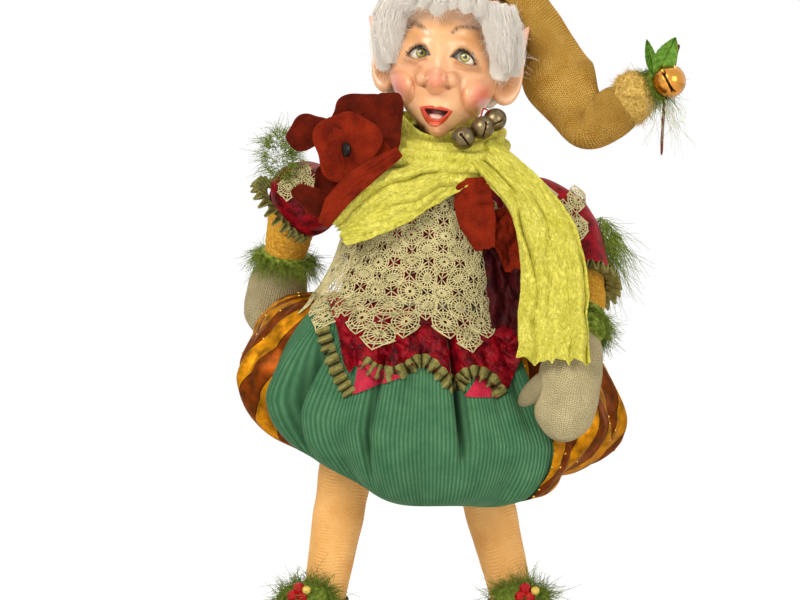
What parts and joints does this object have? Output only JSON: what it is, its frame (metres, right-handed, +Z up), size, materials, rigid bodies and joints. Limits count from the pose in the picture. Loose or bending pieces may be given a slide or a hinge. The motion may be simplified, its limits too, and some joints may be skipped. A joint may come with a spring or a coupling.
{
  "type": "elf doll",
  "caption": "Standing cloth elf doll with a cast face, white hair, stocking cap, scarf, lace shawl, gathered skirt, mittens and pompon shoes; head, arms, legs, cap end and neck bells move",
  "frame": {"origin": "middle of the bounding box in plan, on the floor under the soles", "axes": "+Z up; the face looks along -Y; +X is the doll's own left side"},
  "size_m": [0.287, 0.194, 0.4397],
  "materials": {
    "wire": "satin",
    "stuffed_cloth": "matte",
    "crimson_velvet": "velvet",
    "corduroy": "ribbed",
    "striped_satin": "satin",
    "pleated_ribbon": "matte",
    "crochet_lace": "open knotted thread",
    "nylon_skin": "fine ribbed nylon",
    "shoe_felt": "felt",
    "sole_leather": "matte",
    "moss": "loose fibres",
    "berry": "gloss",
    "mustard_knit": "knitted",
    "eyelash_yarn": "loose fibres",
    "mitten_knit": "knitted",
    "cast_resin": "satin paint",
    "eye_glass": "gloss",
    "wool_hair": "loose fibres",
    "hat_knit": "knitted",
    "hat_fur": "fur",
    "band_ribbon": "satin",
    "gold_bell": "polished",
    "antique_bell": "antiqued",
    "steel_pea": "plain",
    "leaf_cloth": "satin",
    "twig_wood": "natural",
    "scarf_gauze": "crinkled gauze",
    "rust_felt": "felt",
    "eyelet_enamel": "gloss"
  },
  "bodies": {
    "body": {"armature": "wire", "torso": "stuffed_cloth", "bodice": "crimson_velvet", "skirt_front": "corduroy", "skirt_back": "striped_satin", "peplum": "crimson_velvet", "peplum_trim": "pleated_ribbon", "lace_shawl": "crochet_lace", "scarf_wrap": "scarf_gauze", "scarf_short_end": "scarf_gauze", "scarf_long_end": "scarf_gauze", "flower": "rust_felt", "flower_eyelet": "eyelet_enamel", "ribbon_petal_1": "rust_felt", "ribbon_petal_2": "rust_felt"},
    "head": {"head": "cast_resin", "right_eye": "eye_glass", "left_eye": "eye_glass", "hair": "wool_hair", "hat": "hat_knit", "hat_band": "band_ribbon"},
    "hat_tail": {"hat_tail_end": "hat_knit", "hat_tip": "hat_fur", "hat_bell": "gold_bell", "hat_bell_pea": "steel_pea", "hat_moss": "moss", "hat_leaves": "leaf_cloth", "hat_twig": "twig_wood"},
    "right_arm": {"right_arm_wire": "wire", "right_arm": "mustard_knit", "right_sleeve": "crimson_velvet", "right_sleeve_trim": "pleated_ribbon", "right_mitten": "mitten_knit", "right_cuff": "eyelash_yarn", "right_tuft": "eyelash_yarn"},
    "left_arm": {"left_arm_wire": "wire", "left_arm": "mustard_knit", "left_sleeve": "crimson_velvet", "left_sleeve_trim": "pleated_ribbon", "left_mitten": "mitten_knit", "left_cuff": "eyelash_yarn", "left_tuft": "eyelash_yarn"},
    "right_leg": {"right_leg_wire": "wire", "right_leg": "nylon_skin", "right_shoe": "shoe_felt", "right_sole": "sole_leather", "right_pompon": "moss", "right_berries": "berry"},
    "left_leg": {"left_leg_wire": "wire", "left_leg": "nylon_skin", "left_shoe": "shoe_felt", "left_sole": "sole_leather", "left_pompon": "moss", "left_berries": "berry"},
    "neck_bells": {"neck_bell_1": "antique_bell", "neck_bell_1_pea": "steel_pea", "neck_bell_2": "antique_bell", "neck_bell_2_pea": "steel_pea", "neck_bell_3": "antique_bell", "neck_bell_3_pea": "steel_pea"}
  },
  "joints": [
    {"name": "head_turn", "type": "hinge", "parent": "body", "child": "head", "pos_m": [-0.01991, 0.00766, 0.325], "axis": [0, 0, 1], "range_deg": [-20, 20]},
    {"name": "hat_tail_bend", "type": "hinge", "parent": "head", "child": "hat_tail", "pos_m": [0.08109, 0.01966, 0.338], "axis": [0, 1, 0], "range_deg": [-8, 30]},
    {"name": "right_arm_lift", "type": "hinge", "parent": "body", "child": "right_arm", "pos_m": [-0.07791, 0.00766, 0.302], "axis": [0, 1, 0], "range_deg": [0, 30]},
    {"name": "left_arm_lift", "type": "hinge", "parent": "body", "child": "left_arm", "pos_m": [0.03809, 0.00766, 0.302], "axis": [0, -1, 0], "range_deg": [0, 30]},
    {"name": "right_leg_swing", "type": "hinge", "parent": "body", "child": "right_leg", "pos_m": [-0.06391, 0.00766, 0.178], "axis": [1, 0, 0], "range_deg": [-12, 12]},
    {"name": "left_leg_swing", "type": "hinge", "parent": "body", "child": "left_leg", "pos_m": [-0.00391, 0.00766, 0.178], "axis": [1, 0, 0], "range_deg": [-12, 12]},
    {"name": "neck_bells_swing", "type": "hinge", "parent": "body", "child": "neck_bells", "pos_m": [0.01209, -0.03034, 0.346], "axis": [-1, 0, 0], "range_deg": [0, 12]}
  ]
}
